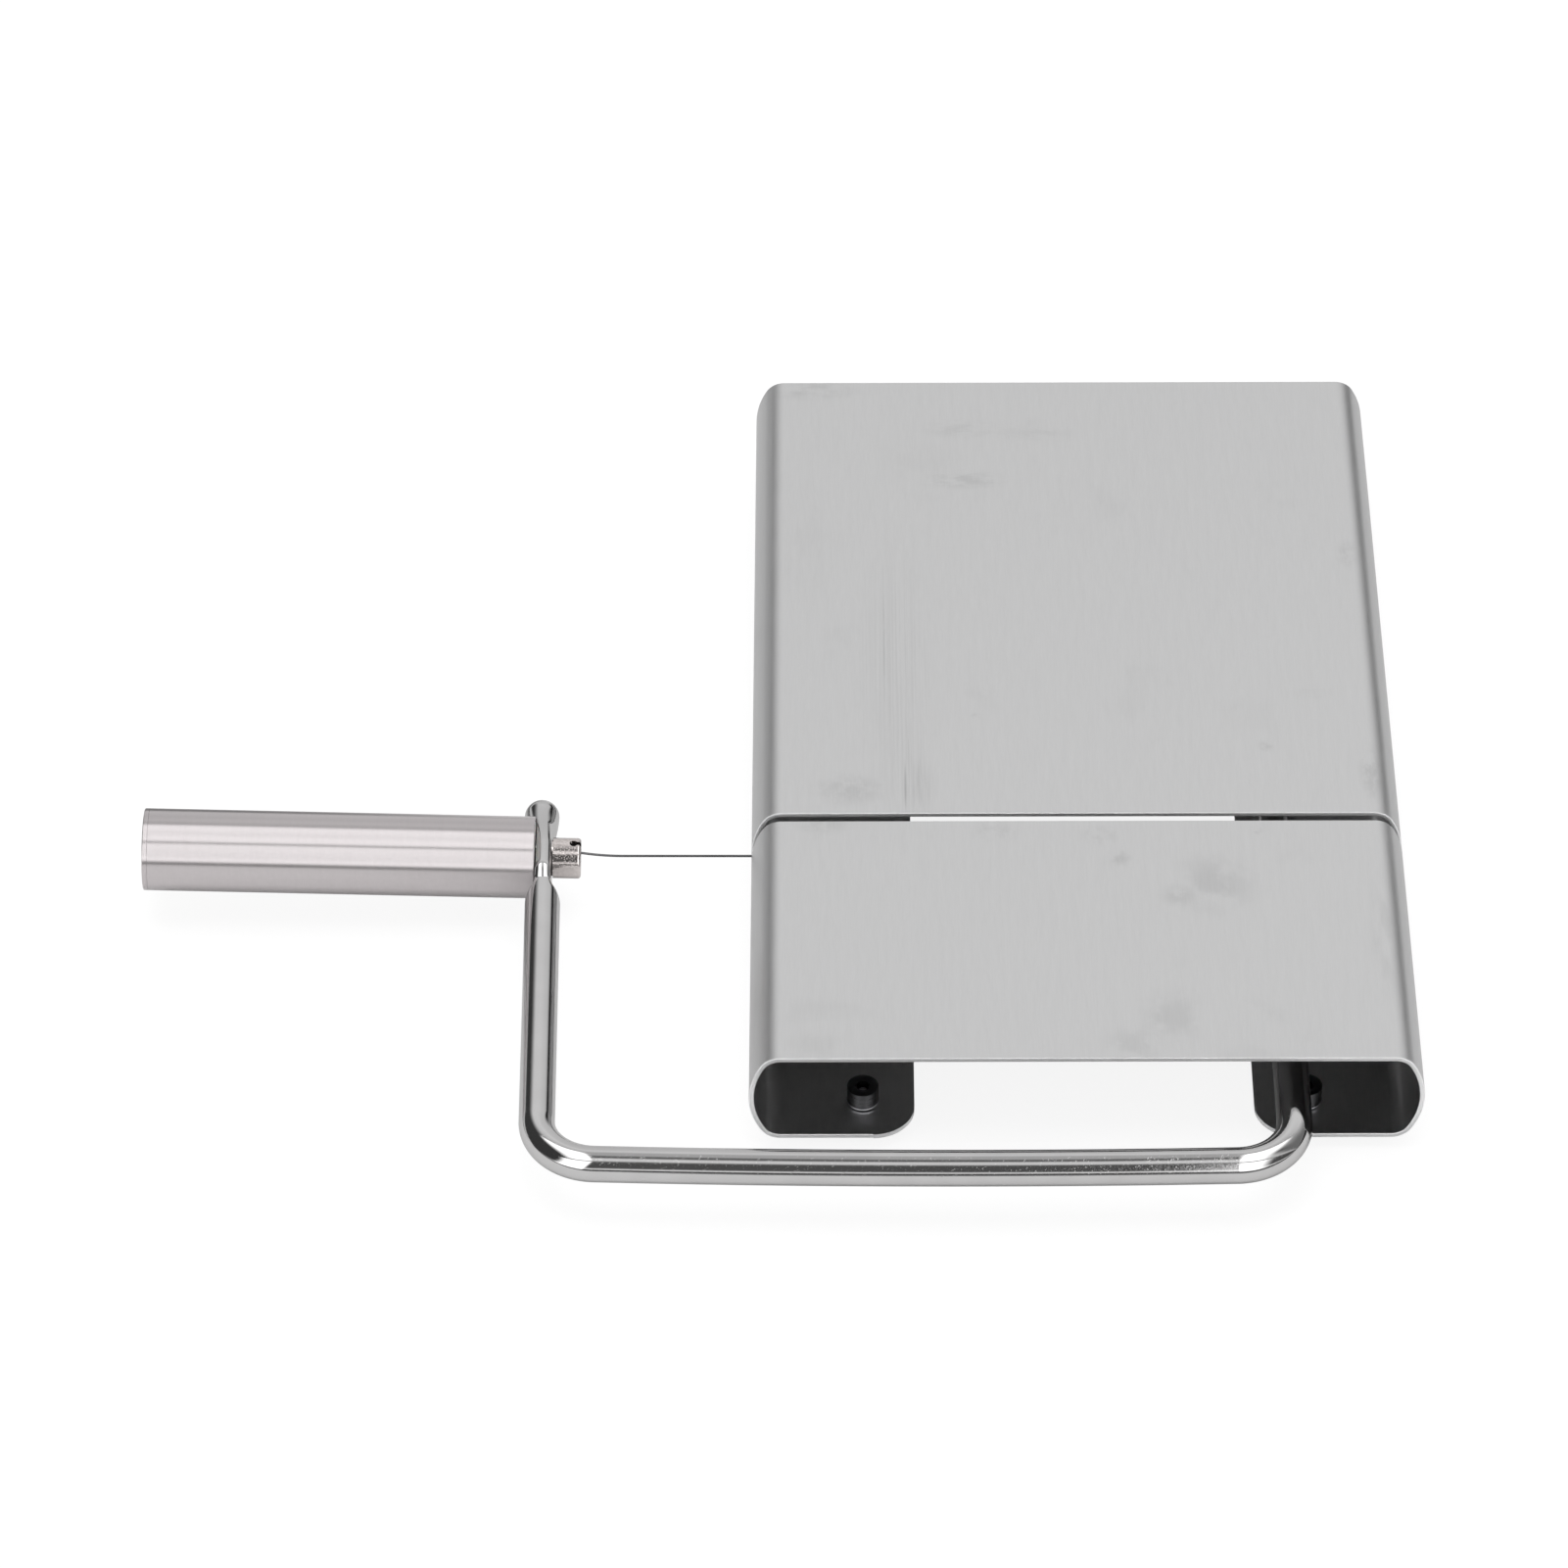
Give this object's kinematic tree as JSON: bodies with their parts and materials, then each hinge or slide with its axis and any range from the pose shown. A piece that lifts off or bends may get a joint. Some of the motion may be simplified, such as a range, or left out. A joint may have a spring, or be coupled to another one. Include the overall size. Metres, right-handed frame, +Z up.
{
  "type": "wire cheese cutter",
  "caption": "Stainless board bent from one sheet, with a cross slot and a hinged bow that pulls a thin wire down through cheese; a round handle turns to tighten the wire",
  "frame": {"origin": "middle of the outline seen from above, on the plane the rubber feet stand on, with the bow down in the slot", "axes": "+X across the board from the handle side to the hinge side, +Y along the board from the bow's front run to the rear, +Z up"},
  "size_m": [0.2516, 0.2326, 0.0243],
  "materials": {
    "brushed_stainless": "brushed along the board's depth",
    "polished_stainless": "polished bright stainless steel",
    "satin_stainless": "fine satin, turned",
    "nickel_plate": "nickel plated, slightly warm",
    "zinc_steel": "plain bright steel",
    "black_rubber": "moulded matt rubber",
    "white_nylon": "natural nylon"
  },
  "bodies": {
    "board": {"base_plate": "brushed_stainless", "front_hinge_bracket": "brushed_stainless", "rear_hinge_bracket": "brushed_stainless", "front_pivot_bush": "white_nylon", "rear_pivot_bush": "white_nylon", "foot_nut_front_left": "zinc_steel", "rubber_foot_front_left": "black_rubber", "foot_screw_front_left": "zinc_steel", "foot_nut_front_right": "zinc_steel", "rubber_foot_front_right": "black_rubber", "foot_screw_front_right": "zinc_steel", "foot_nut_rear_left": "zinc_steel", "rubber_foot_rear_left": "black_rubber", "foot_screw_rear_left": "zinc_steel", "foot_nut_rear_right": "zinc_steel", "rubber_foot_rear_right": "black_rubber", "foot_screw_rear_right": "zinc_steel"},
    "bow": {"bow_rod": "polished_stainless", "front_retaining_clip": "zinc_steel", "rear_retaining_clip": "zinc_steel"},
    "handle": {"handle_tube": "satin_stainless", "handle_end_cap": "satin_stainless", "handle_thread_insert": "white_nylon"},
    "tension": {"tension_bolt": "nickel_plate", "wire_barrel_end": "polished_stainless", "cutting_wire": "polished_stainless", "wire_stop_sleeve": "polished_stainless"}
  },
  "joints": [
    {"name": "bow_swing", "type": "hinge", "parent": "board", "child": "bow", "pos_m": [0.10038, -0.02412, 0.0136], "axis": [0, 1, 0], "range_deg": [0, 180]},
    {"name": "handle_turn", "type": "hinge", "parent": "bow", "child": "handle", "pos_m": [-0.04582, -0.02412, 0.0136], "axis": [0.9995, 0, -0.0314], "range_deg": [-1080, 0]},
    {"name": "wire_tension", "type": "slide", "parent": "bow", "child": "tension", "axis": [0.9995, 0, -0.0314], "range_m": [0, 0.0022]}
  ],
  "couplings": [
    {"joint": "wire_tension", "follows": "handle_turn", "m_per_rad": -0.00011141}
  ]
}
